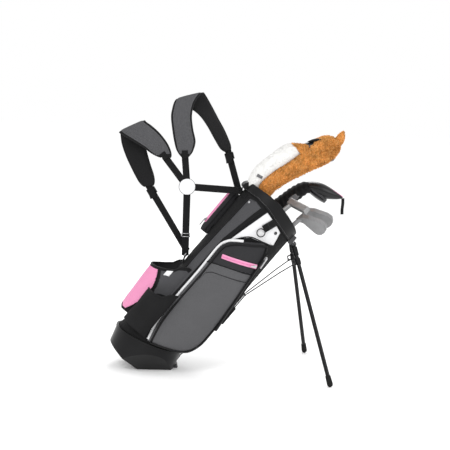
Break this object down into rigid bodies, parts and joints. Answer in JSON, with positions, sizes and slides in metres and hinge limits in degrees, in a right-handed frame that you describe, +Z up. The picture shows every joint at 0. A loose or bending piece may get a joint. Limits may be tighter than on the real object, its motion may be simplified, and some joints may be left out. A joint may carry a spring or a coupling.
{
  "type": "golf club set",
  "caption": "Junior stand bag leaning on two folding legs, holding woods, irons and a putter, with two head covers and a double shoulder harness.",
  "frame": {"origin": "centre of the flat ground facet under the base cup, on the ground", "axes": "+Z up, +X the way the bag leans (towards its legs), +Y away from the side that carries the big pocket"},
  "size_m": [0.6724, 0.3862, 0.8032],
  "materials": {
    "black_fabric": "woven nylon",
    "charcoal_fabric": "woven nylon",
    "pink_fabric": "woven nylon",
    "pink_zip": "zip tape and coil",
    "mesh_fabric": "open knit mesh",
    "webbing": "ribbed webbing",
    "pad_fabric": "heathered nylon over foam",
    "black_plastic": "satin moulded",
    "grey_plastic": "satin moulded",
    "white_plastic": "gloss moulded",
    "leg_paint": "gloss black tube",
    "wire_steel": "black coated wire",
    "steel": "satin",
    "club_steel": "satin chrome",
    "shaft": "satin grey",
    "grip_rubber": "textured",
    "foot_rubber": "matte",
    "plush": "long pile",
    "head_paint": "gloss"
  },
  "bodies": {
    "bag": {"base_cup": "black_plastic", "actuator_pin": "steel", "bag_tube": "black_fabric", "top_collar": "black_plastic", "club_divider": "black_fabric", "side_pocket": "charcoal_fabric", "side_zip": "black_fabric", "valuables_zip": "pink_zip", "spine_pocket": "black_fabric", "spine_zip": "pink_zip", "accessory_pouch": "pink_fabric", "bottle_sleeve": "mesh_fabric", "towel_loop": "webbing", "leg_bracket": "black_plastic", "pivot_pins": "steel", "bracket_rivets": "steel", "rod_guide": "black_plastic", "lower_anchor": "black_fabric", "top_anchor": "webbing"},
    "near_leg": {"leg_near": "leg_paint", "leg_yoke_near": "black_plastic", "foot_near": "foot_rubber", "wire_clip_near": "black_plastic"},
    "far_leg": {"leg_far": "leg_paint", "leg_yoke_far": "black_plastic", "foot_far": "foot_rubber", "wire_clip_far": "black_plastic"},
    "push_rods": {"actuator_rod": "wire_steel"},
    "near_push_wire": {"push_wire_near": "wire_steel"},
    "far_push_wire": {"push_wire_far": "wire_steel"},
    "base_plate": {"base_actuator": "grey_plastic"},
    "main_zip_slider": {"side_slider": "steel"},
    "small_zip_slider": {"valuables_slider": "steel"},
    "spine_zip_slider": {"spine_slider": "steel"},
    "ring": {"towel_ring": "black_plastic"},
    "harness": {"strap_hub": "white_plastic", "strap_pad_left": "pad_fabric", "strap_pad_right": "pad_fabric", "pad_webbing": "webbing", "hub_webbing": "webbing", "strap_adjusters": "black_plastic", "adjuster_webbing": "webbing"},
    "driver": {"driver_shaft": "shaft", "driver_grip": "grip_rubber", "driver_head": "head_paint"},
    "hybrid": {"hybrid_shaft": "shaft", "hybrid_grip": "grip_rubber", "hybrid_head": "head_paint"},
    "putter": {"putter_shaft": "club_steel", "putter_grip": "grip_rubber", "putter_head": "club_steel"},
    "long_iron": {"long_iron_shaft": "club_steel", "long_iron_grip": "grip_rubber", "long_iron_head": "club_steel"},
    "short_iron": {"short_iron_shaft": "club_steel", "short_iron_grip": "grip_rubber", "short_iron_head": "club_steel"},
    "plush_cover": {"driver_cover": "plush"},
    "sock_cover": {"hybrid_cover": "black_fabric", "cover_tag": "webbing"}
  },
  "joints": [
    {"name": "leg_near_fold", "type": "hinge", "parent": "bag", "child": "near_leg", "pos_m": [0.38712, -0.022, 0.37823], "axis": [0.3578, 0.8867, -0.2927], "range_deg": [0, 53.95]},
    {"name": "leg_far_fold", "type": "hinge", "parent": "bag", "child": "far_leg", "pos_m": [0.38712, 0.022, 0.37823], "axis": [-0.3691, 0.8794, 0.3006], "range_deg": [0, 52.17]},
    {"name": "rod_slide", "type": "slide", "parent": "bag", "child": "push_rods", "axis": [-0.6115, 0, -0.7912], "range_m": [0, 0.0222]},
    {"name": "near_wire_swing", "type": "hinge", "parent": "push_rods", "child": "near_push_wire", "pos_m": [0.25561, -0.01, 0.21952], "axis": [-0.3972, -0.884, 0.2466], "range_deg": [0, 17.85]},
    {"name": "far_wire_swing", "type": "hinge", "parent": "push_rods", "child": "far_push_wire", "pos_m": [0.25561, 0.01, 0.21952], "axis": [0.4077, -0.8766, -0.2558], "range_deg": [0, 17.55]},
    {"name": "base_plate_hinge", "type": "hinge", "parent": "bag", "child": "base_plate", "pos_m": [0.008, 0, 0.0036], "axis": [0, 1, 0], "range_deg": [0, 25.1]},
    {"name": "main_zip_run", "type": "slide", "parent": "bag", "child": "main_zip_slider", "axis": [-0.5014, 0.0901, -0.8605], "range_m": [0, 0.238]},
    {"name": "small_zip_run", "type": "hinge", "parent": "bag", "child": "small_zip_slider", "pos_m": [0.23057, -0.0175, 0.3343], "axis": [0.2538, 0, 0.9673], "range_deg": [-47, 0]},
    {"name": "spine_zip_run", "type": "slide", "parent": "bag", "child": "spine_zip_slider", "axis": [0.6115, 0, 0.7912], "range_m": [0, 0.094]},
    {"name": "ring_swing", "type": "hinge", "parent": "bag", "child": "ring", "pos_m": [0.28834, -0.1032, 0.42703], "axis": [0.7912, 0, -0.6115], "range_deg": [-110, 2]},
    {"name": "harness_swing", "type": "hinge", "parent": "bag", "child": "harness", "pos_m": [0.07734, 0, 0.3434], "axis": [0.6115, 0, 0.7912], "range_deg": [-20, 20]},
    {"name": "driver_pull", "type": "slide", "parent": "bag", "child": "driver", "axis": [0.6578, 0, 0.7532], "range_m": [0, 0.72]},
    {"name": "hybrid_pull", "type": "slide", "parent": "bag", "child": "hybrid", "axis": [0.7485, 0, 0.6632], "range_m": [0, 0.66]},
    {"name": "putter_pull", "type": "slide", "parent": "bag", "child": "putter", "axis": [0.7394, 0, 0.6732], "range_m": [0, 0.62]},
    {"name": "long_iron_pull", "type": "slide", "parent": "bag", "child": "long_iron", "axis": [0.7242, 0, 0.6896], "range_m": [0, 0.64]},
    {"name": "short_iron_pull", "type": "slide", "parent": "bag", "child": "short_iron", "axis": [0.7242, 0, 0.6896], "range_m": [0, 0.62]},
    {"name": "plush_cover_pull", "type": "slide", "parent": "driver", "child": "plush_cover", "axis": [0.6578, 0, 0.7532], "range_m": [0, 0.26]},
    {"name": "sock_cover_pull", "type": "slide", "parent": "hybrid", "child": "sock_cover", "axis": [0.7485, 0, 0.6632], "range_m": [0, 0.2]}
  ],
  "couplings": [
    {"joint": "leg_far_fold", "follows": "leg_near_fold", "ratio": 0.96695},
    {"joint": "rod_slide", "follows": "leg_near_fold", "m_per_rad": 0.02345},
    {"joint": "near_wire_swing", "follows": "leg_near_fold", "ratio": 0.32978},
    {"joint": "far_wire_swing", "follows": "leg_near_fold", "ratio": 0.32382},
    {"joint": "base_plate_hinge", "follows": "leg_near_fold", "ratio": 0.46338}
  ]
}
